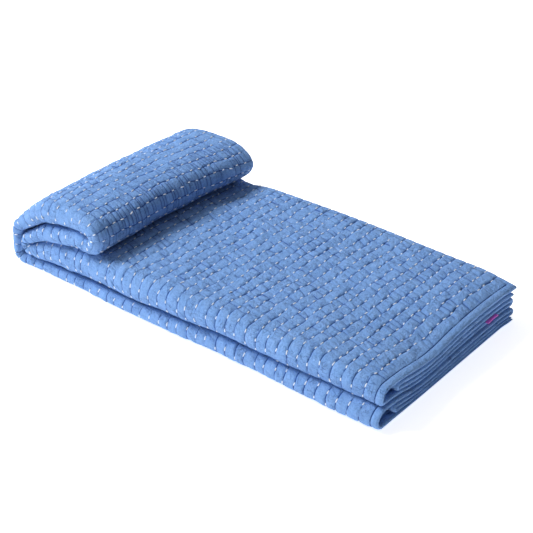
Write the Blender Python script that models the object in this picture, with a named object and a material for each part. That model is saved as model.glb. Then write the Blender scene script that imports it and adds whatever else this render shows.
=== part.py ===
# A kantha quilt, folded as it is stored: folded in half twice across its width, in half across its
# length, and its folded end turned over to lie on the strip like a flat roll.
# Metres, +Z up. X runs along the strip towards its open end, Y from the near side to the far side.

import math

import bmesh
import bpy
import numpy as np

# ---- driving sizes ----
STRIP_WIDTH = 0.243  # near bends to far folds
LAYERS = 4  # of quilt in each run of the strip
LAYER = 0.0046  # one thickness of quilt, lying loose
LEAST_GAP = 0.0007  # between layers that press on each other
STITCH_PITCH = 0.0125  # from one row of stitches to the next
ROW_DIP = 0.0011  # how far a row of stitches pulls the face in
FACE_SHARE = 0.98  # of a layer's thickness, what its body fills
BINDING_WIDTH = 0.0075
BINDING_SHARE = 0.94  # the binding's thickness, as a share of the layer's
SEAM_GAP = 0.0004  # between the body and its binding
INNER_BEND_Y = 0.028  # how far in the second fold lies behind the near bend
TOP_EDGE_IN = 0.001  # the outer layer's far edge, in from the far folds
INNER_EDGE_IN = 0.004  # the inner layer's far edge, in from the far folds
RUN_GAP = 0.0005  # between the two runs of the strip
LABEL_WIDTH = 0.019
LABEL_REACH = 0.0048
LABEL_LEAF = 0.0004
LABEL_Y = 0.200
LABEL_DOWN = 1  # how many layers below the middle of the upper run it is sewn in
LABEL_SEAT = -0.0006  # from the open end, where its two leaves start between the bound edges
LABEL_BEND_TURN = 30  # degrees between the points round its bend

# ---- the fold, as it runs through the strip from the lower open end to the upper one ----
# It follows the outer face of the stack: length, turn in degrees (left is positive) and the height
# of the whole stack at the end of the stretch. None is the height that is left above the lower run.
START_HEIGHT = 0.0225
FOLD = (
    ("floor, open end", 0.060, 0, 0.0230),
    ("floor, middle", 0.130, 0, 0.0212),
    ("floor, thinning", 0.075, 0, 0.0180),
    ("floor, to the roll", 0.092, 0, 0.0130),
    ("floor, under the roll", 0.1165, 0, 0.0122),
    ("heel", 0.0236, -90, 0.0122),
    ("back", 0.0210, 0, 0.0125),
    ("shoulder", 0.0189, -45, 0.0145),
    ("slope", 0.0300, 0, 0.0220),
    ("crown, rising", 0.0288, -30, 0.0258),
    ("crown, easing", 0.0262, -15, 0.0248),
    ("crown", 0.0185, 0, 0.0223),
    ("crown, falling", 0.0251, -12, 0.0190),
    ("nose", 0.0590, -168, 0.0186),
    ("tongue, from the nose", 0.0120, 0, 0.0200),
    ("tongue, dipping", 0.0150, 12, 0.0198),
    ("tongue", 0.0380, 0, 0.0206),
    ("tongue, thinning", 0.0120, 12, 0.0165),
    ("tongue, end", 0.0160, 0, 0.0140),
    ("inner bend", 0.00095, 180, 0.0140),
    ("top, from the bend", 0.0160, 0, None),
    ("top, rising", 0.0120, -12, None),
    ("top, under the tongue", 0.0380, 0, None),
    ("top, levelling", 0.0150, -12, None),
    ("top, under the nose", 0.0120, 0, None),
    ("top, clear of the nose", 0.0400, 0.4, None),
    ("top, swelling", 0.1100, 0, None),
    ("top, cresting", 0.0750, -0.8, None),
    ("top, middle", 0.0980, 0, None),
    ("top, dropping", 0.0200, -7, None),
    ("top, open end", 0.0280, 0, None),
)
FLOOR_STRETCHES = 5

# ---- where the settled stack is lower or higher than even: x from the open end, y, reach in x and
# in y, and the change as a share of the height ----
SETTLING = (
    (-0.005, 0.090, 0.060, 0.032, -0.110),
    (-0.010, 0.180, 0.070, 0.040, 0.040),
    (-0.110, 0.060, 0.060, 0.040, 0.025),
    (-0.250, 0.240, 0.100, 0.070, 0.036),
    (-0.348, 0.245, 0.022, 0.060, -0.090),
    (-0.420, 0.120, 0.090, 0.080, 0.036),
    (-0.440, 0.000, 0.090, 0.030, -0.020),
)
# Each of these comes in over a stretch: where it starts, and how far on it is whole.
OPEN_END_X = (-0.160, 0.140)
PRESSED = 0.006  # how far the upper run sinks into the lower one at the open end
PRESSED_Y = (0.015, 0.060)
PRESSED_HEIGHT = 0.047
SET_BACK = 0.008  # how far the upper near bend lies behind the lower one at the open end
SET_BACK_Z = (0.010, 0.025)
SET_BACK_Y = (0.0, 0.060)
CORNER_FLARE = 0.0015  # how far the far corners reach past the open end
CORNER_Y = (0.218, 0.022)
CORNER_X = (-0.030, 0.030)
EDGE_WAVE = 0.0013  # the slow wander of the near side
EDGE_WAVE_LENGTH = 0.23
FAR_WAVE_SHARE = 0.6
NOSE_REACH = 0.0105  # how far the roll's nose leans out at its far end
NOSE_REACH_X = (-0.440, 0.070)
NOSE_REACH_Y = (0.110, 0.130)
NOSE_REACH_Z = (0.050, 0.034)

# ---- how finely the shape is divided ----
STEP_TURN = math.radians(2)
STEP_LENGTH = 0.001
COARSE_TURN = math.radians(24)
COARSE_STEPS = 4
FOOT_ROUNDS = 4
NEAR_BEND_STEPS = 5
SMALL_BEND_STEPS = 3
RUN_COLUMNS = (0.060, 0.122, 0.184)  # where every layer has a line of points, so layers stay parallel
SHARP_ANGLE = math.radians(50)

# ---- materials: name, colour and roughness ----
QUILTED_COTTON = ("quilted cotton", (0.135, 0.300, 0.680, 1), 0.9)
COTTON_BINDING = ("cotton binding", (0.125, 0.280, 0.650, 1), 0.9)
WOVEN_RIBBON = ("woven ribbon", (0.650, 0.080, 0.420, 1), 0.7)


def smooth(share):
    share = np.clip(share, 0, 1)
    return share * share * (3 - 2 * share)


def ramp(value, stretch):
    """0 before the stretch and 1 past it."""
    start, reach = stretch
    return smooth((value - start) / reach)


# ---- the fold's path ----
def walk_fold():
    """Walks the outer face in short steps: travel, x, z, heading, stack height and turn for each."""
    travel, x, z, heading, height, bend = [0.0], [0.0], [0.0], [math.pi], [START_HEIGHT], [0.0]
    floor_x = []
    floor_top = []
    for number, (_, length, turn, end_height) in enumerate(FOLD):
        turn = math.radians(turn)
        steps = max(math.ceil(abs(turn) / STEP_TURN), math.ceil(length / STEP_LENGTH))
        first_height = height[-1]
        for step in range(1, steps + 1):
            middle = heading[-1] + turn / steps / 2
            x.append(x[-1] + length / steps * math.cos(middle))
            z.append(z[-1] + length / steps * math.sin(middle))
            heading.append(heading[-1] + turn / steps)
            travel.append(travel[-1] + length / steps)
            bend.append(turn / length)
            if end_height is None:
                height.append(height_above_floor_run(x[-1], z[-1], heading[-1], floor_x, floor_top))
            else:
                height.append(first_height + (end_height - first_height) * step / steps)
        if number < FLOOR_STRETCHES:
            floor_x.append(-x[-1])
            floor_top.append(end_height)
    return np.array([travel, x, z, heading, height, bend])


def height_above_floor_run(x, z, heading, floor_x, floor_top):
    """The stack height that just clears the lower run, measured square to the upper face."""
    height = z
    for _ in range(FOOT_ROUNDS):
        foot = x + height * math.sin(heading)
        below = np.interp(-foot, [0.0] + floor_x, [START_HEIGHT] + floor_top)
        height = (z - below - RUN_GAP) / math.cos(heading)
    return height


WALK = walk_fold()
# The cloth's own length follows whichever side of the stack is longer.
SPEED = np.maximum(1, 1 + WALK[5] * WALK[4])
CLOTH_TRAVEL = np.concatenate([[0], np.cumsum(SPEED[1:] * np.diff(WALK[0]))])
CLOTH_LENGTH = CLOTH_TRAVEL[-1]
FLOOR_LENGTH = sum(row[1] for row in FOLD[:FLOOR_STRETCHES])


def on_fold(length):
    """Where the fold has come to at this length of cloth: x, z, heading and stack height."""
    return [np.interp(length, CLOTH_TRAVEL, WALK[row]) for row in (1, 2, 3, 4)]


# ---- the section across the strip ----
def layer_of(height):
    """A layer's thickness and the gap to the next one, in a stack of this height."""
    gaps = LAYERS - 1
    layer = min(LAYER, (height - gaps * LEAST_GAP) / LAYERS)
    return layer, (height - LAYERS * layer) / gaps


BEND_START = len(RUN_COLUMNS) + 1  # the columns where the near bend starts and ends
BEND_END = BEND_START + NEAR_BEND_STEPS
COLUMNS = LAYERS * BEND_START + NEAR_BEND_STEPS + 2 * SMALL_BEND_STEPS + 1


def run(first, last, depth, face):
    """A flat stretch of a layer: y, depth and where its face looks."""
    between = list(RUN_COLUMNS)
    if last < first:
        between.reverse()
    return [(y, depth, 0.0, face) for y in [first] + between + [last]]


def bend(centre, depth, radius, steps, side, start):
    """A half turn of a layer towards side (-1 is near), from the start end (-1 is the upper one).
    The face is on its outside when the turn runs from the upper layer to the lower one at the near
    side, or the other way at the far side."""
    outward = 1 if side == start else -1
    rows = []
    for number in range(1, steps):
        angle = math.pi * number / steps
        y, down = side * math.sin(angle), start * math.cos(angle)
        rows.append((centre + radius * y, depth + radius * down, outward * y, outward * down))
    return rows


def section(height, edge_in=0.0):
    """Points along the middle of the cloth from its outer edge to its inner one, and which way its
    face looks there: rows of y, depth, face y and face depth."""
    layer, gap = layer_of(height)
    step = layer + gap
    outer, inner, inner_back, lower = [layer / 2 + step * number for number in range(LAYERS)]
    near_y = height / 2
    fold_y = STRIP_WIDTH - step / 2 - layer / 2
    inner_y = INNER_BEND_Y + step / 2 + layer / 2
    rows = run(STRIP_WIDTH - TOP_EDGE_IN - edge_in, near_y, outer, -1)
    rows += bend(near_y, height / 2, near_y - layer / 2, NEAR_BEND_STEPS, -1, -1)
    rows += run(near_y, fold_y, lower, 1)
    rows += bend(fold_y, (lower + inner_back) / 2, step / 2, SMALL_BEND_STEPS, 1, 1)
    rows += run(fold_y, inner_y, inner_back, -1)
    rows += bend(inner_y, (inner_back + inner) / 2, step / 2, SMALL_BEND_STEPS, -1, 1)
    rows += run(inner_y, STRIP_WIDTH - INNER_EDGE_IN - edge_in, inner, 1)
    return np.array(rows)


def place(length, y, depth):
    """The point of the folded stack at this length of cloth, y and depth below the outer face."""
    x, z, heading, _ = on_fold(length)
    x = x + depth * math.sin(heading)
    z = z - depth * math.cos(heading)
    return settle(x, y, z)


def settle(x, y, z):
    """The small unevenness of a stack that lies as it was folded. The floor side stays flat."""
    share = 1.0
    for centre_x, centre_y, reach_x, reach_y, change in SETTLING:
        share += change * math.exp(-(((x - centre_x) / reach_x) ** 2) - ((y - centre_y) / reach_y) ** 2)
    open_end = ramp(x, OPEN_END_X)
    sunk = PRESSED * open_end * ramp(y, PRESSED_Y)
    lowered = z - sunk * math.sin(math.pi * min(max(z / PRESSED_HEIGHT, 0), 1))
    back = SET_BACK * open_end * ramp(z, SET_BACK_Z) * (1 - ramp(y, SET_BACK_Y))
    flare = CORNER_FLARE * ramp(y, CORNER_Y) * ramp(x, CORNER_X)
    wave = EDGE_WAVE * math.sin(2 * math.pi * x / EDGE_WAVE_LENGTH)
    wave *= 1 - (1 - FAR_WAVE_SHARE) * smooth(y / STRIP_WIDTH)
    lean = NOSE_REACH * ramp(x, NOSE_REACH_X) * ramp(y, NOSE_REACH_Y) * ramp(z, NOSE_REACH_Z)
    return x + flare + lean, y + wave + back, lowered * share


# ---- the quilted body ----
EDGE_IN = BINDING_WIDTH + SEAM_GAP  # the body's edge, in from the binding's
FLAT_TO_BEND = (0.0, 0.5)  # shares of the near bend: it leaves the floor over its first half,
BEND_TO_LOWER = (0.667, 0.333)  # and its stitches stop showing over its last third


def fine_lengths():
    """Lengths of cloth at each row of stitches and half-way between rows."""
    last = CLOTH_LENGTH - EDGE_IN
    rows = round((last - EDGE_IN) / STITCH_PITCH)
    return np.linspace(EDGE_IN, last, 2 * rows + 1)


def coarse_among(lengths):
    """Which of these lengths the hidden faces use: fewer of them where the fold runs straight."""
    kept = [0]
    for number in range(1, len(lengths)):
        turned = abs(on_fold(lengths[number])[2] - on_fold(lengths[kept[-1]])[2])
        ahead = 0.0
        if number + 1 < len(lengths):
            ahead = abs(on_fold(lengths[number + 1])[2] - on_fold(lengths[kept[-1]])[2])
        far = number - kept[-1] >= COARSE_STEPS
        if number == len(lengths) - 1 or far or turned > COARSE_TURN or ahead > COARSE_TURN:
            kept.append(number)
    return kept


def body_rows(length, dip):
    """The face and back points of one section of the body, with the outer layer's face and the near
    bend pulled in by dip, but flat where they lie on the floor."""
    height = on_fold(length)[3]
    layer, _ = layer_of(height)
    half = layer * FACE_SHARE / 2
    on_floor = 1 - smooth((length - FLOOR_LENGTH) / STITCH_PITCH)
    face, back = [], []
    for column, (y, depth, face_y, face_depth) in enumerate(section(height, EDGE_IN)):
        round_bend = (column - BEND_START) / NEAR_BEND_STEPS
        flat = on_floor * (1 - ramp(round_bend, FLAT_TO_BEND))
        inward = ramp(round_bend, BEND_TO_LOWER)
        out = half - dip * (1 - flat) * (1 - inward)
        face.append(place(length, y + face_y * out, depth + face_depth * out))
        back.append(place(length, y - face_y * half, depth - face_depth * half))
    return face, back


def join_strip(mesh, close, first, last, turned):
    """Joins a closely spaced line of points to two widely spaced ones by triangles."""
    middle = len(close) // 2
    triangles = [(here, there, first) for here, there in zip(close[:middle], close[1:])]
    triangles += [(here, there, last) for here, there in zip(close[middle:], close[middle + 1 :])]
    triangles.append((close[middle], last, first))
    for corners in triangles:
        mesh.faces.new(corners[::-1] if turned else corners)


def build_quilt():
    lengths = fine_lengths()
    coarse = coarse_among(lengths)
    mesh = bmesh.new()
    fine_face = []
    coarse_face = {}
    coarse_back = {}
    for number, length in enumerate(lengths):
        dip = ROW_DIP if number % 2 == 0 else 0.0
        if number in (0, len(lengths) - 1):
            dip = ROW_DIP / 2
        face, back = body_rows(length, dip)
        fine_face.append([mesh.verts.new(point) for point in face[: BEND_END + 1]])
        if number in coarse:
            coarse_face[number] = fine_face[-1] + [mesh.verts.new(p) for p in face[BEND_END + 1 :]]
            coarse_back[number] = [mesh.verts.new(point) for point in back]
    for here, there in zip(fine_face, fine_face[1:]):
        for column in range(BEND_END):
            mesh.faces.new((here[column], here[column + 1], there[column + 1], there[column]))
    for first, last in zip(coarse, coarse[1:]):
        face, next_face = coarse_face[first], coarse_face[last]
        back, next_back = coarse_back[first], coarse_back[last]
        seam = [fine_face[number][BEND_END] for number in range(first, last + 1)]
        join_strip(mesh, seam, face[BEND_END + 1], next_face[BEND_END + 1], True)
        edge = [fine_face[number][0] for number in range(first, last + 1)]
        join_strip(mesh, edge, back[0], next_back[0], False)
        for column in range(BEND_END + 1, COLUMNS - 1):
            mesh.faces.new((face[column], face[column + 1], next_face[column + 1], next_face[column]))
        for column in range(COLUMNS - 1):
            mesh.faces.new((back[column + 1], back[column], next_back[column], next_back[column + 1]))
        mesh.faces.new((face[-1], back[-1], next_back[-1], next_face[-1]))
    for number in (coarse[0], coarse[-1]):
        face, back = coarse_face[number], coarse_back[number]
        for column in range(COLUMNS - 1):
            mesh.faces.new((face[column + 1], face[column], back[column], back[column + 1]))
    return mesh


# ---- the binding, one ring round all four edges ----
BINDING_SECTION = ((1.0, 1.0), (0.3, 1.0), (0.0, 0.45), (0.0, -0.45), (0.3, -1.0), (1.0, -1.0))


def binding_station(length_at, column_at):
    """The binding's section where the edge is at length_at(inset), and at column_at(section, inset)
    across the strip."""
    points = []
    for inset_share, side in BINDING_SECTION:
        inset = inset_share * BINDING_WIDTH
        length = length_at(inset)
        height = on_fold(length)[3]
        half = layer_of(height)[0] * BINDING_SHARE / 2
        y, depth, face_y, face_depth = column_at(height, inset)
        points.append(place(length, y + side * half * face_y, depth + side * half * face_depth))
    return points


def build_binding():
    lengths = fine_lengths()
    along = [lengths[number] for number in coarse_among(lengths)]
    stations = []

    def at_column(number):
        return lambda height, inset: section(height, EDGE_IN)[number]

    def at_edge(number):
        return lambda height, inset: section(height, inset)[number]

    for number in range(COLUMNS):
        stations.append(binding_station(lambda inset: inset, at_column(number)))
    stations.append(binding_station(lambda inset: inset, at_edge(COLUMNS - 1)))
    for length in along:
        stations.append(binding_station(lambda inset, length=length: length, at_edge(COLUMNS - 1)))
    stations.append(binding_station(lambda inset: CLOTH_LENGTH - inset, at_edge(COLUMNS - 1)))
    for number in range(COLUMNS - 1, -1, -1):
        stations.append(binding_station(lambda inset: CLOTH_LENGTH - inset, at_column(number)))
    stations.append(binding_station(lambda inset: CLOTH_LENGTH - inset, at_edge(0)))
    for length in reversed(along):
        stations.append(binding_station(lambda inset, length=length: length, at_edge(0)))
    stations.append(binding_station(lambda inset: inset, at_edge(0)))

    mesh = bmesh.new()
    rings = [[mesh.verts.new(point) for point in station] for station in stations]
    for ring, next_ring in zip(rings, rings[1:] + rings[:1]):
        for corner in range(len(ring)):
            after = (corner + 1) % len(ring)
            mesh.faces.new((ring[corner], next_ring[corner], next_ring[after], ring[after]))
    return mesh


# ---- the label, a short ribbon folded double and sewn in at the upper open end ----
def build_label():
    x, z, heading, height = on_fold(CLOTH_LENGTH)
    depth = height / 2 + LABEL_DOWN * sum(layer_of(height))
    outer, inner = 1.5 * LABEL_LEAF, 0.5 * LABEL_LEAF
    bends = [math.radians(angle) for angle in range(90, -91, -LABEL_BEND_TURN)]
    reach = LABEL_REACH - outer
    outline = [(0.0, outer)] + [(reach + outer * math.cos(a), outer * math.sin(a)) for a in bends]
    outline += [(0.0, -outer), (0.0, -inner)]
    outline += [(reach + inner * math.cos(a), inner * math.sin(a)) for a in reversed(bends)]
    outline += [(0.0, inner)]
    mesh = bmesh.new()
    seat = x + depth * math.sin(heading) + LABEL_SEAT
    rings = []
    for side in (-0.5, 0.5):
        y = LABEL_Y + side * LABEL_WIDTH
        rings.append([
            mesh.verts.new(settle(seat + along, y, z - depth * math.cos(heading) + up))
            for along, up in outline
        ])
    near, far = rings
    for corner in range(len(outline)):
        after = (corner + 1) % len(outline)
        mesh.faces.new((near[corner], near[after], far[after], far[corner]))
    mesh.faces.new(near[::-1])
    mesh.faces.new(far)
    return mesh


# ---- objects ----
def clear_scene():
    for item in list(bpy.data.objects):
        bpy.data.objects.remove(item, do_unlink=True)


def cloth_material(name, colour, roughness):
    material = bpy.data.materials.new(name)
    material.use_nodes = True
    shader = material.node_tree.nodes["Principled BSDF"]
    shader.inputs["Base Color"].default_value = colour
    shader.inputs["Roughness"].default_value = roughness
    shader.inputs["Metallic"].default_value = 0.0
    return material


def add_piece(collection, name, mesh, material):
    bmesh.ops.recalc_face_normals(mesh, faces=mesh.faces)
    data = bpy.data.meshes.new(name)
    mesh.to_mesh(data)
    mesh.free()
    data.materials.append(material)
    data.shade_smooth()
    data.set_sharp_from_angle(angle=SHARP_ANGLE)
    piece = bpy.data.objects.new(name, data)
    collection.objects.link(piece)
    return piece


def centre_on_floor(pieces):
    """Puts the origin under the middle of the whole thing, on the floor."""
    corners = np.array([vertex.co for piece in pieces for vertex in piece.data.vertices])
    low, high = corners.min(axis=0), corners.max(axis=0)
    for piece in pieces:
        for vertex in piece.data.vertices:
            vertex.co.x -= (low[0] + high[0]) / 2
            vertex.co.y -= (low[1] + high[1]) / 2
            vertex.co.z -= low[2]


def main():
    clear_scene()
    collection = bpy.data.collections.new("kantha_quilt")
    bpy.context.scene.collection.children.link(collection)
    pieces = [
        add_piece(collection, "quilt", build_quilt(), cloth_material(*QUILTED_COTTON)),
        add_piece(collection, "binding", build_binding(), cloth_material(*COTTON_BINDING)),
        add_piece(collection, "label", build_label(), cloth_material(*WOVEN_RIBBON)),
    ]
    centre_on_floor(pieces)


main()
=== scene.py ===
# A kantha quilt, folded to a long strip with its folded end turned over in a flat roll.
# Metres, +Z up. X runs along the strip to its open end, Y from the near side to the far side.
import math
from types import SimpleNamespace

import bpy
import numpy as np
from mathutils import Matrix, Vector


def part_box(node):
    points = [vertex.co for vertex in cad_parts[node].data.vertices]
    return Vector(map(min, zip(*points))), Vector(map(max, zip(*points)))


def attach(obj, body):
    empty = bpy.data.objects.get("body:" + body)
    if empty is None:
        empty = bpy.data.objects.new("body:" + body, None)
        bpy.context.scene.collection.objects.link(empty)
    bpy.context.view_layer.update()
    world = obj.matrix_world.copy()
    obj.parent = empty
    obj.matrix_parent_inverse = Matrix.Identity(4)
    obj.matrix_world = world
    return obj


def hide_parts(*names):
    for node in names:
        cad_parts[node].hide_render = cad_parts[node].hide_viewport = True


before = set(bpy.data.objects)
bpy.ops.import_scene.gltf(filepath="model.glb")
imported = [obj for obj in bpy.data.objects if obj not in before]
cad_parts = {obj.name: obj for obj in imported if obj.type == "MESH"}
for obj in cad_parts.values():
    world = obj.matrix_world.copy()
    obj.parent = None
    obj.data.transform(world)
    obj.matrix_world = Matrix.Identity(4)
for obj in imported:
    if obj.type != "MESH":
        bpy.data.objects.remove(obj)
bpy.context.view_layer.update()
print("frame loaded:", ", ".join(sorted(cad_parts)))

# The fold follows the outer face of the stack of layers, from the lower open end to the upper one:
# length, turn in degrees (left is positive), and the stack's height at the end of the stretch.
# None is the height that is left above the lower run.
fold = {
    "startHeight": 0.0225,
    "stretches": (
        ("floor, open end", 0.060, 0, 0.0230),
        ("floor, middle", 0.130, 0, 0.0212),
        ("floor, thinning", 0.075, 0, 0.0180),
        ("floor, to the roll", 0.092, 0, 0.0130),
        ("floor, under the roll", 0.1165, 0, 0.0122),
        ("heel", 0.0236, -90, 0.0122),
        ("back", 0.0210, 0, 0.0125),
        ("shoulder", 0.0189, -45, 0.0145),
        ("slope", 0.0300, 0, 0.0220),
        ("crown, rising", 0.0288, -30, 0.0258),
        ("crown, easing", 0.0262, -15, 0.0248),
        ("crown", 0.0185, 0, 0.0223),
        ("crown, falling", 0.0251, -12, 0.0190),
        ("nose", 0.0590, -168, 0.0186),
        ("tongue, from the nose", 0.0120, 0, 0.0200),
        ("tongue, dipping", 0.0150, 12, 0.0198),
        ("tongue", 0.0380, 0, 0.0206),
        ("tongue, thinning", 0.0120, 12, 0.0165),
        ("tongue, end", 0.0160, 0, 0.0140),
        ("inner bend", 0.00095, 180, 0.0140),
        ("top, from the bend", 0.0160, 0, None),
        ("top, rising", 0.0120, -12, None),
        ("top, under the tongue", 0.0380, 0, None),
        ("top, levelling", 0.0150, -12, None),
        ("top, under the nose", 0.0120, 0, None),
        ("top, clear of the nose", 0.0400, 0.4, None),
        ("top, swelling", 0.1100, 0, None),
        ("top, cresting", 0.0750, -0.8, None),
        ("top, middle", 0.0980, 0, None),
        ("top, dropping", 0.0200, -7, None),
        ("top, open end", 0.0280, 0, None),
    ),
    "floorStretches": 5,
    "runGap": 0.0005,  # between the two runs of the strip
    "stepTurn": math.radians(2),
    "stepLength": 0.001,
    "footRounds": 4,
}

# Where the settled stack is lower or higher than even: x from the open end, y, reach in x and in y,
# and the change as a share of the height.
settling = {
    "places": (
        (-0.005, 0.090, 0.060, 0.032, -0.110),
        (-0.010, 0.180, 0.070, 0.040, 0.040),
        (-0.110, 0.060, 0.060, 0.040, 0.025),
        (-0.250, 0.240, 0.100, 0.070, 0.036),
        (-0.348, 0.245, 0.022, 0.060, -0.090),
        (-0.420, 0.120, 0.090, 0.080, 0.036),
        (-0.440, 0.000, 0.090, 0.030, -0.020),
    ),
    # Where it leans: which way (0 is x, 1 is y), how far, and the stretches of x, y and z over which
    # that comes in: where each starts, and how far on it is whole.
    "leans": (
        (0, 0.0015, (-0.030, 0.030), (0.218, 0.022), None),  # the far corners flare
        (0, 0.0105, (-0.440, 0.070), (0.110, 0.130), (0.050, 0.034)),  # the nose leans out at its far end
        (1, 0.008, (-0.160, 0.140), (0.060, -0.060), (0.010, 0.025)),  # the upper near bend is set back
    ),
    "pressed": 0.006,  # how far the upper run sinks into the lower one, and where
    "pressedX": (-0.160, 0.140),
    "pressedY": (0.015, 0.060),
    "pressedHeight": 0.047,
    "edgeWave": (0.0013, 0.23, 0.6),  # size, length, and its share at the far side
}

# What a quilter would change: the cloth, its rows of running stitch and how it puckers between them.
quilt = {
    "stripWidth": 0.243,
    "layers": 4,
    "layer": 0.0046,  # one thickness of quilt, lying loose
    "leastGap": 0.0007,
    "faceShare": 0.98,  # of a layer's thickness, what the body fills
    "innerBendY": 0.028,  # how far in the second fold lies behind the near bend
    "topEdgeIn": 0.001,
    "innerEdgeIn": 0.004,
    "edgeIn": 0.0079,  # the body's edge, in from the binding's
    "seed": 7,
    # the rows of stitches
    "rowPitch": 0.0125,
    "rowLength": 0.262,  # on the outer layer and its near bend, a little over
    "rowWander": ((0.110, 0.0008), (0.041, 0.0004)),  # how a row wanders: length and size of its waves
    "rowHeld": (0.020, 0.012),  # near its ends, where it doesn't
    "jag": (0.006, 0.0009),  # every so often a row steps aside by up to this much
    "rowDepth": (0.0006, 0.0016),  # from slack to tight rows
    "tightRows": (0.25, 1.5),  # the share of rows that is tighter still, and how much
    "slack": 0.75,  # a row's usual share of its depth, and its waves: size and length
    "slackWaves": ((0.45, 0.083), (0.40, 0.037), (0.25, 0.017)),
    "leastSlack": 0.12,
    "underStitch": (0.0020, 0.35),  # how far a stitch holds the groove up, and by what share
    "stitchEnd": (0.0026, 0.0010, 0.0004),  # where a stitch dips in, and the dip's reach and depth
    "grooveWidth": 0.0006,
    "grooveLine": (0.0001, 0.0004),  # where a groove starts to close, and how far on it has; where closed it is painted dark as shade
    "bendGroove": (  # how deep the rows lie round the near bend, as shares, along the fold
        ("floor, open end", 1.0),
        ("floor, thinning", 0.7),
        ("floor, under the roll", 0.4),
        ("heel", 0.7),
        ("shoulder", 0.5),
        ("crown, easing", 0.3),
        ("nose", 0.2),
        ("tongue, dipping", 0.3),
        ("tongue, thinning", 0.6),
        ("inner bend", 1.0),
        ("top, under the tongue", 0.5),
        ("top, clear of the nose", 0.35),
        ("top, cresting", 0.7),
        ("top, dropping", 1.1),
    ),
    # the short creases across a pillow
    "creaseGap": (0.0052, 0.0106),
    "creaseApart": 0.0036,  # how close two of them come at a row
    "creaseDepth": (0.0002, 0.0013),
    "creaseSpread": 1.4,  # above 1, shallow ones are the more common
    "creaseLine": (0.0003, 0.0009),
    "creaseLean": 0.0030,  # how far on a crease ends than it starts
    "creaseBow": 0.0006,
    "creaseWidth": 0.0005,
    "creaseFades": 0.3,  # the share that fades towards a row, and towards the other
    "creaseFade": (0.1, 0.4),
    "firstCrease": 0.005,  # from the body's far edge
    "creaseStart": 0.002,
    # how far the painted shade of a closed groove or crease spreads
    "lineWidth": 0.0004,
    # the closer gathers round the nose of the roll
    "gatherGap": (0.0033, 0.0054),
    "gatherApart": 0.0024,
    "gatherDepth": (0.0004, 0.0017),
    "gatherDrift": 0.0004,  # how far they move from row to row
    "gatherWaves": (0.55, 0.6, 1.3),  # how strong they are: middle, size, and turn from row to row
    "gatherLeast": 0.1,
    "gatherUnlike": (0.6, 1.0),
    "gatherBow": 0.0003,
    "gatherFirst": 0.3,  # their share on the crown, and how far on they are whole
    "gatherWhole": 0.045,
    "gatherPast": 0.010,
    "gatherCells": (2, 3),  # how much less their pillows lift and tilt
    # the pillows between the rows, and the little ones between the creases
    "pillow": 0.00035,  # how far a pillow stands out
    "pillowFlat": 6,  # the higher, the flatter
    "cellLift": 0.00016,
    "cellTilt": 0.06,
    "cellReach": 0.008,
    "cellPast": (0.006, 0.010),  # how far the end ones go past the creases
    "cellIn": 0.006,
    "swell": 0.0002,  # slow unevenness of the whole face, in waves
    "swellWaves": 9,
    "swellLengths": (0.045, 0.13),
    "swellIn": 0.030,
    "deepest": 0.0024,
    # where the relief changes: starts, and how far on each is whole
    "bendIn": (-0.010, 0.015),  # along a row, before the near bend
    "bendCrease": 0.5,  # the share of a crease's depth that is lost there
    "floorBend": (0.05, 0.30),  # as shares of the way round the near bend
    "rollBend": (0.02, 0.20),
    "bendOut": (0.82, 0.18),
    "heelIn": 0.002,
    "rollIn": 0.004,
    "rollShown": ((-0.006, 0.012), (0.002, 0.014)),
    "endRows": 0.35,  # of a row, at both ends of the cloth, where the relief is slight
    "endShare": 0.15,
    "endSink": 0.0004,
}

fineness = {
    "rowShares": (0.0, 0.042, 0.13, 0.31, 0.5, 0.69, 0.87, 0.958),  # lines of points from row to row
    "hiddenShares": (0.0, 0.08, 0.28, 0.5, 0.72, 0.92),
    "besideCrease": 0.0006,
    "lastCrease": 0.004,  # before the near bend's end
    "runStep": 0.0036,
    "bendStep": 0.0018,
    "bendBefore": 0.001,
    "rowStep": 0.0020,
    "bendRowStep": 0.0015,
    "hiddenColumns": (0.045, 0.075, 0.105, 0.135, 0.165, 0.195, 0.222),  # y of the sparse lines of points
    "hiddenBefore": 0.002,  # how far before the near bend the creases of a hidden row start
    "sparseBefore": 0.004,  # and how far before them the sparse points end
    "smallBend": 5,
    "backBend": 9,
    "sparseTurn": math.radians(11),
    "sparseRows": 3,
}
fullTurn = 2 * math.pi


def smooth(share):
    share = np.clip(share, 0, 1)
    return share * share * (3 - 2 * share)


def ramp(value, stretch):
    start, reach = stretch
    return smooth((value - start) / reach)


# The fold's path.
def heightAboveFloorRun(x, z, heading, floorX, floorTop):
    height = z
    for _ in range(fold["footRounds"]):
        foot = x + height * math.sin(heading)
        height = (z - np.interp(-foot, floorX, floorTop) - fold["runGap"]) / math.cos(heading)
    return height


def walkFold():
    # rows of: length walked, x, z, heading, the stack's height, and how sharply the path bends
    travel, x, z, heading, height, bend = 0.0, 0.0, 0.0, math.pi, fold["startHeight"], 0.0
    walked = [(travel, x, z, heading, height, bend)]
    floorX, floorTop = [0.0], [height]
    for number, (_, length, turn, endHeight) in enumerate(fold["stretches"]):
        turn = math.radians(turn)
        steps = max(math.ceil(abs(turn) / fold["stepTurn"]), math.ceil(length / fold["stepLength"]))
        firstHeight = height
        for step in range(1, steps + 1):
            middle = heading + turn / steps / 2
            x += length / steps * math.cos(middle)
            z += length / steps * math.sin(middle)
            heading += turn / steps
            travel += length / steps
            if endHeight is None:
                height = heightAboveFloorRun(x, z, heading, floorX, floorTop)
            else:
                height = firstHeight + (endHeight - firstHeight) * step / steps
            walked.append((travel, x, z, heading, height, turn / length))
        if number < fold["floorStretches"]:
            floorX.append(-x)
            floorTop.append(endHeight)
    return np.array(walked).T


walk = walkFold()
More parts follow.
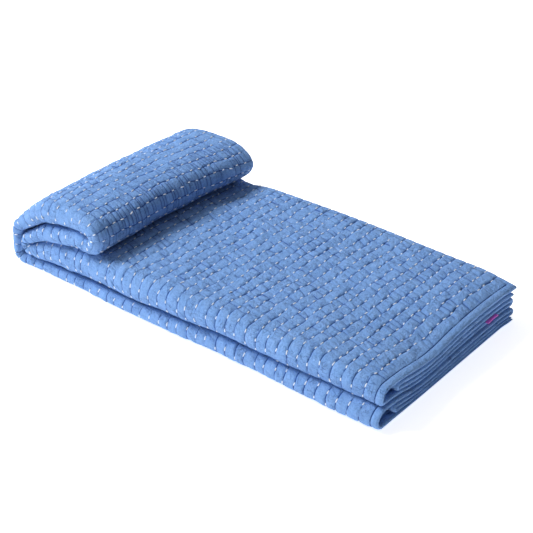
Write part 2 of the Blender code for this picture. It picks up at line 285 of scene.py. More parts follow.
# The cloth's own length follows whichever side of the stack is longer.
speed = np.maximum(1, 1 + walk[5] * walk[4])
clothTravel = np.concatenate([[0], np.cumsum(speed[1:] * np.diff(walk[0]))])
clothLength = clothTravel[-1]
stretchEnds = np.cumsum([row[1] for row in fold["stretches"]])


def clothAt(name):
    # the length of cloth at which the named stretch starts
    number = [row[0] for row in fold["stretches"]].index(name)
    return float(np.interp(stretchEnds[number] - fold["stretches"][number][1], walk[0], clothTravel))


def onFold(length):
    return [np.interp(length, clothTravel, walk[row]) for row in (1, 2, 3, 4)]


def heightAt(length):
    return float(onFold(length)[3])


def layerOf(height):
    # how thick each layer is, and the gap between two of them
    gaps = quilt["layers"] - 1
    layer = np.minimum(quilt["layer"], (height - gaps * quilt["leastGap"]) / quilt["layers"])
    return layer, (height - quilt["layers"] * layer) / gaps


def settle(x, y, z):
    share = 1.0
    for centreX, centreY, reachX, reachY, change in settling["places"]:
        share = share + change * np.exp(-(((x - centreX) / reachX) ** 2) - ((y - centreY) / reachY) ** 2)
    sunk = settling["pressed"] * ramp(x, settling["pressedX"]) * ramp(y, settling["pressedY"])
    lowered = z - sunk * np.sin(math.pi * np.clip(z / settling["pressedHeight"], 0, 1))
    size, length, farShare = settling["edgeWave"]
    wave = size * np.sin(fullTurn * x / length) * (1 - (1 - farShare) * smooth(y / quilt["stripWidth"]))
    moved = [x, y + wave]
    for way, lean, *stretches in settling["leans"]:
        for value, stretch in zip((x, y, z), stretches):
            if stretch:
                lean = lean * ramp(value, stretch)
        moved[way] = moved[way] + lean
    return np.stack(np.broadcast_arrays(*moved, lowered * share), axis=-1)


def place(length, y, depth):
    x, z, heading, _ = onFold(length)
    return settle(x + depth * np.sin(heading), y, z - depth * np.cos(heading))


# The section across the strip: y, depth below the outer face, and where the cloth's face looks.
def sectionPoint(height, part, share, edgeIn):
    layer, gap = layerOf(height)
    step = layer + gap
    outer, inner, innerBack, lower = [layer / 2 + step * number for number in range(4)]
    nearY = height / 2
    foldY = quilt["stripWidth"] - step / 2 - layer / 2
    innerY = quilt["innerBendY"] + step / 2 + layer / 2
    flat = 0 * height + 0 * share
    runs = {  # from y to y, the depth, and the side its face is on
        "outer": (quilt["stripWidth"] - quilt["topEdgeIn"] - edgeIn, nearY, outer, -1),
        "lower": (nearY, foldY, lower, 1),
        "innerBack": (foldY, innerY, innerBack, -1),
        "inner": (innerY, quilt["stripWidth"] - quilt["innerEdgeIn"] - edgeIn, inner, 1),
    }
    if part in runs:
        start, end, depth, side = runs[part]
        return start + (end - start) * share, depth + flat, flat, flat + side
    middleY, middle, radius, across, down, side = {
        "nearBend": (nearY, height / 2, nearY - layer / 2, -1, -1, 1),
        "farFold": (foldY, (lower + innerBack) / 2, step / 2, 1, 1, 1),
        "innerBend": (innerY, (innerBack + inner) / 2, step / 2, -1, 1, -1),
    }[part]
    across, down = across * np.sin(math.pi * share), down * np.cos(math.pi * share)
    return middleY + radius * across, middle + radius * down, side * across + flat, side * down + flat


# The stitch rows and the puckers between them. A place on the face is a row number, the share of the
# way to the next row, and v, the distance along the row from the outer layer's edge.
rowCount = round((clothLength - 2 * quilt["edgeIn"]) / quilt["rowPitch"])
rowPitch = (clothLength - 2 * quilt["edgeIn"]) / rowCount


def rowAt(row):
    return quilt["edgeIn"] + row * rowPitch


dice = np.random.default_rng(quilt["seed"])
wanderPhase = dice.uniform(0, fullTurn, (rowCount + 2, 2))
jagCount = int(quilt["rowLength"] / quilt["jag"][0]) + 2
jags = dice.uniform(-quilt["jag"][1], quilt["jag"][1], (rowCount + 2, jagCount))
rowDepth = dice.uniform(*quilt["rowDepth"], rowCount + 2)
rowDepth[dice.random(rowCount + 2) < quilt["tightRows"][0]] *= quilt["tightRows"][1]
depthPhase = dice.uniform(0, fullTurn, (rowCount + 2, 3))
swellWaves = [
    (dice.uniform(*quilt["swellLengths"]), dice.uniform(0, math.pi), dice.uniform(0, fullTurn))
    for _ in range(quilt["swellWaves"])
]
noseStart, noseEnd = clothAt("crown"), clothAt("tongue, from the nose") + quilt["gatherPast"]
bendGroove = np.interp(
    rowAt(np.arange(rowCount + 2)),
    [clothAt(name) for name, _ in quilt["bendGroove"]],
    [share for _, share in quilt["bendGroove"]],
)

# The running stitches: one thread capsule, laid along every row.
stitch = {
    "pitch": 0.0125,
    "jitter": 0.0022,
    "first": -0.005,  # the first ones lie on the binding
    "length": (0.0032, 0.0050),
    "width": 0.0013,
    "height": 0.0012,
    "sunk": (0.0, 0.0002),
    "leastRise": -0.0008,
    "segments": 6,
    "rings": 5,
    "blunt": 0.75,
    "arch": 0.35,  # the ends go down into the cloth
    "lastBend": 0.86,  # the share of the near bend where they still show
    "floorBend": 0.12,
    "rollBefore": 0.004,
    "step": 0.0006,
}


def stitchesAlong():
    # v of the stitches of one row
    first = stitch["first"] + dice.uniform(0, stitch["pitch"])
    centres = np.arange(first, quilt["rowLength"], stitch["pitch"])
    return centres + dice.uniform(-stitch["jitter"], stitch["jitter"], len(centres))


rowStitches = [stitchesAlong() for _ in range(rowCount + 2)]
gatherCount = int(quilt["rowLength"] / quilt["gatherGap"][0]) + 2
gatherGaps = dice.uniform(*quilt["gatherGap"], gatherCount)
gatherDrift = np.cumsum(dice.uniform(-1, 1, (rowCount + 2, gatherCount)), axis=0) * quilt["gatherDrift"]
gatherDrift = gatherDrift - gatherDrift.mean(1)[:, None]
gatherFade = dice.uniform(0, fullTurn, gatherCount)


def makeCreases(row):
    # the short creases across the pillow after this row: where they start and end, their bow and depth,
    # which of their ends fade, and how the little pillows between them lie
    gathered = noseStart < rowAt(row + 0.5) < noseEnd
    sort = "gather" if gathered else "crease"
    gaps = gatherGaps
    if not gathered:
        gaps = dice.uniform(*quilt["creaseGap"], int(quilt["rowLength"] / quilt["creaseGap"][0]) + 2)
    centres = np.cumsum(gaps) - quilt["creaseStart"]
    slack = (np.minimum(gaps, np.append(gaps[1:], gaps[-1])) - quilt[sort + "Apart"]) / 2
    bow = quilt[sort + "Bow"]
    count = len(centres)
    if gathered:
        middle, size, turn = quilt["gatherWaves"]
        strength = np.clip(middle + size * np.sin(row * turn + gatherFade), quilt["gatherLeast"], 1)
        strength = strength * dice.uniform(*quilt["gatherUnlike"], count)
        grown = ramp(rowAt(row), (noseStart, quilt["gatherWhole"]))
        strength = strength * (quilt["gatherFirst"] + (1 - quilt["gatherFirst"]) * grown)
        starts, ends = [np.clip(gatherDrift[number], -slack, slack) for number in (row, row + 1)]
        bows = dice.uniform(-bow, bow, count)
        kind = np.full(count, 0.5)
        lessLift, lessTilt = quilt["gatherCells"]
    else:
        lean = quilt["creaseLean"] / 2
        starts, ends = [on + slack * dice.uniform(-1, 1, count) for on in (-lean, lean)]
        bows = dice.uniform(-bow, bow, count)
        strength = dice.random(count) ** quilt["creaseSpread"]
        kind = dice.random(count)
        lessLift, lessTilt = 1, 1
    least, most = quilt[sort + "Depth"]
    return {
        "centre": centres,
        "start": centres + starts,
        "end": centres + ends,
        "bow": bows,
        "depth": (least + (most - least) * strength) * (centres > quilt["firstCrease"]),
        "kind": kind,
        "lift": dice.normal(0, quilt["cellLift"] / lessLift, count + 1),
        "tilt": dice.normal(0, quilt["cellTilt"] / lessTilt, (2, count + 1)),
    }


creases = [makeCreases(row) for row in range(rowCount + 1)]


def creaseMiddle(row, share):
    here = creases[row]
    return here["start"] + (here["end"] - here["start"]) * share + here["bow"] * (1 - (2 * share - 1) ** 2)


def rowWander(row, v, end):
    aside = np.interp(v, np.arange(jagCount) * quilt["jag"][0], jags[row])
    for (length, size), phase in zip(quilt["rowWander"], wanderPhase[row]):
        aside = aside + size * np.sin(fullTurn * v / length + phase)
    farHeld, nearHeld = quilt["rowHeld"]
    return aside * smooth(v / farHeld) * smooth((end - v) / nearHeld) * (0 < row < rowCount)


def clothAlong(row, share, v, end):
    return rowAt(row + share) + (1 - share) * rowWander(row, v, end) + share * rowWander(row + 1, v, end)


def grooveDepth(row, v):
    # of the pinched line at a row of stitches, deepest between its stitches and at their ends
    slack = quilt["slack"]
    for (size, length), phase in zip(quilt["slackWaves"], depthPhase[row]):
        slack = slack + size * np.sin(fullTurn * v / length + phase)
    away = v - rowStitches[row][:, None]
    underReach, underShare = quilt["underStitch"]
    endAway, endReach, endDepth = quilt["stitchEnd"]
    under = np.exp(-((away / underReach) ** 2)).sum(0)
    ends = np.exp(-(((np.abs(away) - endAway) / endReach) ** 2)).sum(0)
    depth = rowDepth[row] * np.maximum(slack, quilt["leastSlack"]) * (1 - underShare * under)
    return depth + endDepth * ends


def eased(deep):
    # grooves that add up go no deeper than the deepest
    return quilt["deepest"] * (1 - np.exp(-deep / quilt["deepest"]))


def pinch(depth, away, sort):
    # what grooves or creases so deep and so far away give here: depth, and how closed it is (painted shade)
    line = ramp(depth, quilt[sort + "Line"]) * np.exp(-away / quilt["lineWidth"])
    return depth * np.exp(-away / quilt[sort + "Width"]), line


def bulge(share):
    # 1 over most of the way from row to row, 0 at the rows
    return 1 - (2 * share - 1) ** quilt["pillowFlat"]


def cellUnevenness(row, share, v):
    here = creases[row]
    edges = creaseMiddle(row, share)
    first, last = -quilt["cellPast"][0], edges[-1] + quilt["cellPast"][1]
    before, after = np.append(first, edges)[:, None], np.append(edges, last)[:, None]
    within = smooth((v - before) / quilt["creaseWidth"] + 0.5)
    within = within * (1 - smooth((v - after) / quilt["creaseWidth"] + 0.5))
    along, across = here["tilt"][:, :, None]
    away = np.clip(v - (before + after) / 2, -quilt["cellReach"], quilt["cellReach"])
    lies = here["lift"][:, None] + along * away + across * (share - 0.5) * rowPitch
    return (within * lies).sum(0) * bulge(share)


def relief(row, share, v, bendShare):
    # how far the face lies above (+) or below its middle here, and how closed a crease is, 0 to 1: its
    # painted shade
    deep, line, lies = 0 * v, 0 * v, 0
    for number, away in ((row, share * rowPitch), (row + 1, (1 - share) * rowPitch)):
        groove = grooveDepth(number, v) * (1 + (bendGroove[number] - 1) * bendShare)
        pinched, closed = pinch(groove, away, "groove")
        deep, line = deep + pinched, line + closed
    if share > 0:
        here = creases[row]
        start, reach = quilt["creaseFade"]
        fade = np.where(here["kind"] < quilt["creaseFades"], smooth((1 - start - share) / reach), 1.0)
        fade = np.where(here["kind"] > 1 - quilt["creaseFades"], smooth((share - start) / reach), fade)
        strength = (here["depth"] * fade)[:, None] * (1 - quilt["bendCrease"] * bendShare)
        pinched, closed = pinch(strength, np.abs(v - creaseMiddle(row, share)[:, None]), "crease")
        deep, line = deep + pinched.sum(0), line + closed.sum(0)
        lies = cellUnevenness(row, share, v) * smooth(v / quilt["cellIn"])
    return quilt["pillow"] * bulge(share) + lies - eased(deep), np.clip(line, 0, 1)


def swell(u, v):
    total = 0.0
    for length, turn, phase in swellWaves:
        total = total + np.sin(fullTurn * (u * math.cos(turn) + v * math.sin(turn)) / length + phase)
    return quilt["swell"] * total


# Points of the body's outer layer.
floorEnd = clothAt("heel")
rollStart, rollEnd = clothAt("tongue, dipping") + quilt["rollIn"], clothAt("top, under the nose")


def isHidden(row):
    # whether the outer layer after this row lies out of sight, on the floor or in the roll
    u = rowAt(row + 0.5)
    return u <= floorEnd + quilt["heelIn"] or rollStart <= u <= rollEnd


def insideRoll(u):
    # 1 where the outer layer lies inside the roll
    (into, intoReach), (out, outReach) = quilt["rollShown"]
    return float(ramp(u, (rollStart + into, intoReach)) * (1 - ramp(u, (rollEnd + out, outReach))))


def outerSpan(height):
    # of the outer layer and its near bend, where this is the stack's height
    layer, _ = layerOf(height)
    edge = quilt["stripWidth"] - quilt["topEdgeIn"] - quilt["edgeIn"]
    radius, runLength = height / 2 - layer / 2, edge - height / 2
    half, end = layer * quilt["faceShare"] / 2, runLength + math.pi * radius
    return SimpleNamespace(half=half, edge=edge, radius=radius, runLength=runLength, end=end)


def outerPoint(u, v, out):
    # the point at v along the row, and out from the middle of the cloth
    height = onFold(u)[3]
    span = outerSpan(height)
    angle = np.clip((v - span.runLength) / span.radius, 0, math.pi)
    onBend = v > span.runLength
    y = np.where(onBend, height / 2 - span.radius * np.sin(angle), span.edge - v)
    depth = np.where(onBend, height / 2 - span.radius * np.cos(angle), layerOf(height)[0] / 2)
    faceY, faceDepth = np.where(onBend, -np.sin(angle), 0), np.where(onBend, -np.cos(angle), -1)
    return place(u, y + faceY * out, depth + faceDepth * out)


def evenColumns(height, hidden):
    # v of the points of a line across the outer layer and round the near bend
    span = outerSpan(height)
    if hidden:
        run = np.append(0.0, np.sort(span.edge - np.array(fineness["hiddenColumns"])))
    else:
        run = np.linspace(0, span.runLength, math.ceil(span.runLength / fineness["rowStep"]) + 1)[:-1]
    steps = math.ceil((span.end - span.runLength) / fineness["bendRowStep"])
    return np.append(run, np.linspace(span.runLength, span.end, steps + 1))


def creaseColumns(row, share, hidden):
    # v of the points of a line between two rows: closest at the creases, and following them
    before, middle, after, here = [outerSpan(heightAt(rowAt(row + part))) for part in (0.0, 0.5, 1.0, share)]
    columns = np.array(fineness["hiddenColumns"])
    first, sparse = quilt["firstCrease"], 0
    if hidden:
        first = max(first, middle.runLength - fineness["hiddenBefore"])
        sparse = sum(middle.edge - columns < first - fineness["sparseBefore"])
    centres = creases[row]["centre"]
    last = min(before.end, middle.end, after.end) - fineness["lastCrease"]
    chosen = (centres > first) & (centres < last)
    offsets = np.array([-1, 0, 1]) * fineness["besideCrease"]
    lines = []
    for part, span in ((0.5, middle), (share, here)):
        knots = (creaseMiddle(row, part)[chosen][:, None] + offsets).ravel()
        lines.append(np.concatenate([[0.0], np.sort(span.edge - columns)[:sparse], knots, [span.end]]))
    even, followed = lines
    filled = []
    for number, gap in enumerate(np.diff(even)):
        onBend = even[number + 1] > middle.runLength - fineness["bendBefore"]
        parts = max(1, math.ceil(gap / fineness["bendStep" if onBend else "runStep"]))
        if hidden and even[number + 1] < first - fineness["sparseBefore"]:
            parts = 1
        onward = np.arange(parts) / parts
        filled.append(followed[number] + (followed[number + 1] - followed[number]) * onward)
    return np.append(np.concatenate(filled), followed[-1])


def outerStation(row, share, hidden):
    # a line of points across the strip, how closed the creases are at them, and their v
    u = rowAt(row + share)
    height = heightAt(u)
    span = outerSpan(height)
    v = creaseColumns(row, share, hidden) if share > 0 else evenColumns(height, hidden)
    rise, crease = relief(row, share, v, ramp(v - span.runLength, quilt["bendIn"]))
    rise = rise + swell(u, v) * smooth(v / quilt["swellIn"])
    bendPart = np.clip((v - span.runLength) / (math.pi * span.radius), 0, 1)
    onFloor = (1 - smooth((u - floorEnd) / rowPitch)) * (1 - ramp(bendPart, quilt["floorBend"]))
    inRoll = insideRoll(u) * (1 - ramp(bendPart, quilt["rollBend"]))
    shown = (1 - onFloor) * (1 - inRoll) * (1 - ramp(bendPart, quilt["bendOut"]))
    ends = smooth(min(row + share, rowCount - row - share) / quilt["endRows"])
    ends = ends * (1 - quilt["endShare"]) + quilt["endShare"]
    out = span.half + rise * shown * ends - quilt["endSink"] * (1 - ends)
    return outerPoint(clothAlong(row, share, v, span.end), v, out), crease * shown, v


# The other lines of points: the rest of the face, and the back.
def sectionLine(height, parts, edgeIn):
    # rows of y, depth, face y and face depth through these parts of the section
    line = []
    for part, steps in parts:
        shares = np.linspace(0, 1, steps + 1)
        if not steps:  # a flat stretch has points where it crosses the sparse lines
            first, last = [float(sectionPoint(height, part, end, edgeIn)[0]) for end in (0.0, 1.0)]
            crossings = sorted((y - first) / (last - first) for y in fineness["hiddenColumns"])
            shares = np.array([0.0, *crossings, 1.0])
        y, depth, faceY, faceDepth = sectionPoint(height, part, shares, edgeIn)
        rows = np.stack([y, depth, faceY, faceDepth], axis=-1)
        line.append(rows if not line else rows[1:])
    return np.concatenate(line)


restOfFace = (
    ("lower", 0),
    ("farFold", fineness["smallBend"]),
    ("innerBack", 0),
    ("innerBend", fineness["smallBend"]),
    ("inner", 0),
)
wholeBack = (("outer", 0), ("nearBend", fineness["backBend"])) + restOfFace


def sparseStation(u, parts, side):
    height = heightAt(u)
    half = outerSpan(height).half
    y, depth, faceY, faceDepth = sectionLine(height, parts, quilt["edgeIn"]).T
    return place(u, y + side * faceY * half, depth + side * faceDepth * half)


class Cloth:
    # joins lines of points, which know their place on the cloth, into one closed mesh
    def __init__(self):
        self.points, self.places, self.creases, self.faces = [], [], [], []
        self.count = 0

    def line(self, points, rowPlace, v, crease):
        self.points.append(points)
        self.places.append(np.stack(np.broadcast_arrays(rowPlace, v, 0.0), axis=-1))
        self.creases.append(crease + 0 * v)
        first = self.count
        self.count += len(points)
        return np.arange(first, self.count)

    def strip(self, here, there):
        # between two lines with as many points
        corners = np.stack([here[:-1], here[1:], there[1:], there[:-1]], axis=1)
        self.faces += [tuple(face) for face in corners.tolist()]

    def join(self, here, hereAt, there, thereAt):
        # between two lines with unlike numbers of points, matched by where each point is
        hereAt, thereAt = [*hereAt, math.inf], [*thereAt, math.inf]
        first, second = 0, 0
        while first < len(here) - 1 or second < len(there) - 1:
            if hereAt[first + 1] <= thereAt[second + 1]:
                corners = (here[first], here[first + 1], there[second])
                first += 1
            else:
                corners = (here[first], there[second + 1], there[second])
                second += 1
            self.faces.append(tuple(int(corner) for corner in corners))

    def build(self, name, shift):
        data = bpy.data.meshes.new(name)
        data.from_pydata((np.concatenate(self.points) + shift).tolist(), [], self.faces)
        # crease: how closed a point is into a crease or groove, which the cloth's material paints as shade
        for attribute, kind, field, values in (
            ("clothPlace", "FLOAT_VECTOR", "vector", self.places),
            ("crease", "FLOAT", "value", self.creases),
        ):
            made = data.attributes.new(attribute, kind, "POINT")
            made.data.foreach_set(field, np.concatenate(values).astype(np.float32).ravel())
        return addPiece(name, data)


def addPiece(name, data):
    piece = bpy.data.objects.new(name, data)
    bpy.context.scene.collection.objects.link(piece)
    bpy.ops.object.select_all(action="DESELECT")
    bpy.context.view_layer.objects.active = piece
    piece.select_set(True)
    bpy.ops.object.mode_set(mode="EDIT")
    bpy.ops.mesh.select_all(action="SELECT")
    bpy.ops.mesh.normals_make_consistent(inside=False)
    bpy.ops.object.mode_set(mode="OBJECT")
    bpy.ops.object.shade_smooth()
    piece.select_set(False)
    return piece


def counted(words, piece):
    print(words + ":", sum(len(face.vertices) - 2 for face in piece.data.polygons), "triangles")
    return piece


def rowStations():
    stations = []
    for row in range(rowCount):
        shares = fineness["hiddenShares" if isHidden(row) else "rowShares"]
        stations += [(row, share) for share in shares]
    return stations + [(rowCount, 0.0)]


def sparseAmong(stations):
    # the stations that the unseen faces use: on or half-way between rows, closer where the fold turns
    kept = [0]
    for number in range(1, len(stations)):
        if stations[number][1] not in (0.0, 0.5):
            continue
        here, last = sum(stations[number]), sum(stations[kept[-1]])
        after = min(rowAt(here) + rowPitch / 2, clothLength - quilt["edgeIn"])
        headings = [float(onFold(u)[2]) for u in (rowAt(last), rowAt(here), after)]
        turned = max(abs(np.subtract(headings, headings[0]))) > fineness["sparseTurn"]
        if turned or here - last >= fineness["sparseRows"] or number == len(stations) - 1:
            kept.append(number)
    return kept


def buildQuilt(shift):
    cloth = Cloth()
    stations = rowStations()
    sparse = sparseAmong(stations)
    outer, outerV, rest, back = [], [], {}, {}
    for number, (row, share) in enumerate(stations):
        u = rowAt(row + share)
        hidden = isHidden(row) and (share > 0 or isHidden(row - 1))
        points, crease, v = outerStation(row, share, hidden)
        outer.append(cloth.line(points, row + share, v, crease))
        outerV.append(v)
        if number not in sparse:
            continue
        for lines, parts, side, firstV in ((rest, restOfFace, 1, v[-1]), (back, wholeBack, -1, 0.0)):
            section = sectionLine(heightAt(u), parts, quilt["edgeIn"])
            lengths = np.hypot(*np.diff(section[:, :2], axis=0).T)
            along = firstV + np.concatenate([[0], np.cumsum(lengths)])
            points = sparseStation(u, parts, side)
            if lines is rest:
                points, along = points[1:], along[1:]
            lines[number] = (cloth.line(points, row + share, along, 0.0), along)
    for number, (row, share) in enumerate(stations[:-1]):
        if share > 0 and stations[number + 1][1] > 0:
            cloth.strip(outer[number], outer[number + 1])
        else:
            cloth.join(outer[number], outerV[number], outer[number + 1], outerV[number + 1])
    for first, last in zip(sparse, sparse[1:]):
        span = range(first, last + 1)
        at = [sum(stations[number]) for number in span]
        for lines, end in ((rest, -1), (back, 0)):
            here, there = lines[first][0], lines[last][0]
            cloth.strip(here, there)
            cloth.join([outer[number][end] for number in span], at, [here[0], there[0]], [at[0], at[-1]])
        cloth.strip(*[np.array([rest[number][0][-1], back[number][0][-1]]) for number in (first, last)])
    for number in (sparse[0], sparse[-1]):
        face = np.concatenate([outer[number], rest[number][0]])
        faceV = np.concatenate([outerV[number], rest[number][1]])
        cloth.join(face, faceV, *back[number])
    return cloth.build("quiltedCloth", shift)


def middleShift():
    # from this script's own x and y, measured from the open end and the near side, to the frame's
    points = []
    for number in range(4 * rowCount + 1):
        u = rowAt(number / 4)
        height = heightAt(u)
        points.append(outerPoint(u, evenColumns(height, False), outerSpan(height).half))
        points.append(sparseStation(u, restOfFace, 1))
    points = np.concatenate(points)
    middle = (points.min(0) + points.max(0)) / 2
    low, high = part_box("quilt")
    return np.array([
        (low.x + high.x) / 2 - middle[0],
        (low.y + high.y) / 2 - middle[1],
        low.z - points[:, 2].min(),
    ])


# The binding, one ring round all four edges.
binding = {
    "width": 0.0075,
    "thickness": 0.95,  # as a share of the layer's
    "profile": (  # in from the edge and out from the middle, as shares
        (1.0, 0.80), (0.86, 0.97), (0.55, 1.0), (0.26, 0.90), (0.08, 0.62), (0.0, 0.2),
        (0.0, -0.2), (0.08, -0.62), (0.26, -0.90), (0.55, -1.0), (0.86, -0.97), (1.0, -0.80),
    ),
    "puckers": ((0.0061, 0.045), (0.0093, 0.04), (0.0171, 0.04)),  # wave length and share of the thickness
    "puckerTurn": 3,  # how unlike they are across it
    "endSteps": (
        ("outer", 70), ("nearBend", 20), ("lower", 40), ("farFold", 8),
        ("innerBack", 36), ("innerBend", 8), ("inner", 36),
    ),
    "farShares": (0.0, 0.05, 0.13, 0.28, 0.5, 0.72, 0.87, 0.95),  # lines of points from row to row
    "innerShares": (0.0, 0.33, 0.67),
    "scallop": 0.0008,  # how far a row of stitches pulls the far edge in
    "scallopWidth": 0.0020,
    "lap": 0.0008,  # how far it laps onto the body along the far edge, where no seam shows
    "flush": 0.985,  # of the body's thickness, where it laps
    "rim": 3,  # the higher, the further out the body's relief goes on
    "corner": 0.020,
    "seamShade": 0.5,
}


def edgeStations(shares):
    at = [rowAt(row + share) for row in range(rowCount) for share in shares]
    return np.array(at + [clothLength - quilt["edgeIn"]])


def edgeRelief(u):
    # on the far edge: how deep the rows of stitches lie, how closed they are, their pull and the pillows
    rows = np.arange(rowCount + 1)
    depth = np.array([float(grooveDepth(row, np.zeros(1))[0]) for row in rows])
    away = np.abs(u[:, None] - rowAt(rows))
    within = smooth((u - quilt["edgeIn"]) / binding["corner"])
    within = within * smooth((clothLength - quilt["edgeIn"] - u) / binding["corner"])
    pinched, closed = pinch(depth, away, "groove")
    deep, line = eased(pinched.sum(1)), closed.sum(1)
    pull = binding["scallop"] * np.exp(-away / binding["scallopWidth"]).sum(1)
    shown = smooth((u - floorEnd) / rowPitch) * (1 - np.array([insideRoll(float(at)) for at in u]))
    pillow = quilt["pillow"] * bulge((u - quilt["edgeIn"]) / rowPitch % 1) * shown
    return within, deep * within, np.clip(line, 0, 1) * within, pull * within, pillow * within


def bindingPoints(u, part, share, edgeIn, side):
    u = np.asarray(u) + 0.0 * share
    height = onFold(u)[3]
    y, depth, faceY, faceDepth = sectionPoint(height, part, share, edgeIn)
    turn = binding["puckerTurn"] * abs(side)
    travel = fullTurn * (u + y + depth)
    pucker = sum(size * np.sin(travel / length + turn) for length, size in binding["puckers"])
    half = side * layerOf(height)[0] * binding["thickness"] / 2 * (1 - np.abs(pucker))
    return np.atleast_2d(place(u, y + half * faceY, depth + half * faceDepth))


def bindingEnd(u, side):
    line = []
    for part, steps in binding["endSteps"]:
        shares = np.linspace(0, 1, steps + 1)[: None if part == "inner" else -1]
        line += [bindingPoints(u, part, share, quilt["edgeIn"], side) for share in shares]
    return np.concatenate(line)


def bindingFarEdge(u, relief, insetShare, side):
    # like the body's face, so that the rows of stitches run on to the very edge
    within, deep, _, pull, pillow = relief
    height = onFold(u)[3]
    inset = insetShare * binding["width"] + binding["lap"] * insetShare * within
    y, depth, _, _ = sectionPoint(height, "outer", 0.0, inset)
    full = side
    if insetShare == 1.0:
        full = side + (np.sign(side) * binding["flush"] - side) * within
    thickness = binding["thickness"] + (quilt["faceShare"] - binding["thickness"]) * within
    half = full * layerOf(height)[0] * thickness / 2
    if side > 0:
        half = half + (pillow - deep) * (1 - (1 - insetShare) ** binding["rim"])
    return place(u, y - pull * (1 - insetShare), depth - half)


def buildBinding(shift):
    alongInner = edgeStations(binding["innerShares"])
    alongFar = edgeStations(binding["farShares"])[::-1]
    farRelief = edgeRelief(alongFar)
    lines, creaseLines = [], []
    for insetShare, side in binding["profile"]:
        inset = insetShare * binding["width"]
        start, finish = inset, clothLength - inset
        parts = [
            bindingEnd(start, side),
            bindingPoints(np.concatenate([[start], alongInner, [finish]]), "inner", 1.0, inset, side),
            bindingEnd(finish, side)[::-1],
            bindingPoints(finish, "outer", 0.0, inset, side),
            bindingFarEdge(alongFar, farRelief, insetShare, side),
            bindingPoints(start, "outer", 0.0, inset, side),
        ]
        lines.append(np.concatenate(parts))
        seam = binding["seamShade"] if insetShare == 1.0 else 0.0
        shades = [np.full(len(part), seam) for part in parts]
        # painted shade: along the seam, and where the rows' grooves close at the far edge
        shades[4] = seam * (1 - farRelief[0]) + (farRelief[2] if side > 0 else 0.0)
        creaseLines.append(np.concatenate(shades))
    cloth = Cloth()
    rings, shades = np.stack(lines, axis=1), np.stack(creaseLines, axis=1)
    around = np.concatenate([[0], np.cumsum(np.linalg.norm(np.diff(rings[:, 5], axis=0), axis=1))])
    across = np.linspace(0, 2 * binding["width"], len(binding["profile"]))
    indices = [
        cloth.line(ring, distance / rowPitch, across, shade)
        for ring, distance, shade in zip(rings, around, shades)
    ]
    for here, there in zip(indices, indices[1:] + indices[:1]):
        cloth.strip(np.append(here, here[0]), np.append(there, there[0]))
    return cloth.build("selfBinding", shift)


def stitchShape():
    bpy.ops.object.select_all(action="DESELECT")
    bpy.ops.mesh.primitive_uv_sphere_add(
        segments=stitch["segments"], ring_count=stitch["rings"], radius=0.5, rotation=(0, math.pi / 2, 0)
    )
    ball = bpy.context.object
    bpy.ops.object.transform_apply(location=False, rotation=True, scale=True)
    points = np.array([vertex.co for vertex in ball.data.vertices])
    faces = [tuple(face.vertices) for face in ball.data.polygons]
    bpy.data.objects.remove(ball, do_unlink=True)
    along = np.sign(points[:, 0]) * np.abs(2 * points[:, 0]) ** stitch["blunt"] / 2
    return np.stack([along, points[:, 1], points[:, 2] - stitch["arch"] * (2 * along) ** 4], axis=1), faces


def stitchPlaces():
    # middle, direction along the row and outward direction of each stitch that shows
    found = []
    step = stitch["step"]
    for row in range(1, rowCount):
        u = rowAt(row)
        span = outerSpan(heightAt(u))
        around = math.pi * span.radius
        v = rowStitches[row]
        v = v[v < span.runLength + stitch["lastBend"] * around]
        if u < floorEnd:
            v = v[v > span.runLength + stitch["floorBend"] * around]
        elif isHidden(row) and isHidden(row - 1):
            v = v[v > span.runLength - stitch["rollBefore"]]
        if not len(v):
            continue
        rise, _ = relief(row, 0.0, v, ramp(v - span.runLength, quilt["bendIn"]))
        rise = np.maximum(rise, stitch["leastRise"]) + swell(u, v)
        along = clothAlong(row, 0.0, v, span.end)
        out = span.half + rise + stitch["height"] / 2 - dice.uniform(*stitch["sunk"], len(v))
        middle = outerPoint(along, v, out)
        ahead = outerPoint(clothAlong(row, 0.0, v + step, span.end), v + step, out) - middle
        across = outerPoint(along + step, v, out) - middle
        direction = ahead / np.linalg.norm(ahead, axis=1, keepdims=True)
        outward = np.cross(direction, across)
        found += zip(middle, direction, outward / np.linalg.norm(outward, axis=1, keepdims=True))
    return found


def buildStitches(shift):
    shape, faces = stitchShape()
    points, allFaces = [], []
    for number, (point, direction, outward) in enumerate(stitchPlaces()):
        side = np.cross(outward, direction)
        scaled = shape * (dice.uniform(*stitch["length"]), stitch["width"], stitch["height"])
        points.append(point + scaled @ np.stack([direction, side, outward]))
        allFaces += [tuple(corner + number * len(shape) for corner in face) for face in faces]
    data = bpy.data.meshes.new("runningStitches")
    data.from_pydata((np.concatenate(points) + shift).tolist(), [], allFaces)
    return addPiece("runningStitches", data)


# The label, a short plain ribbon folded double.
label = {
    "width": 0.019,
    "reach": 0.0036,
    "leaf": 0.0004,  # half the way from leaf to leaf
    "thickness": 0.00032,
    "seat": -0.0006,
    "y": 0.200,
    "down": 1,  # layers below the middle of the upper run
    "bow": 0.0004,
    "bowTurn": (3, 1),
    "bend": 0.2,  # the share of its length that goes round
    "steps": (24, 16),
}


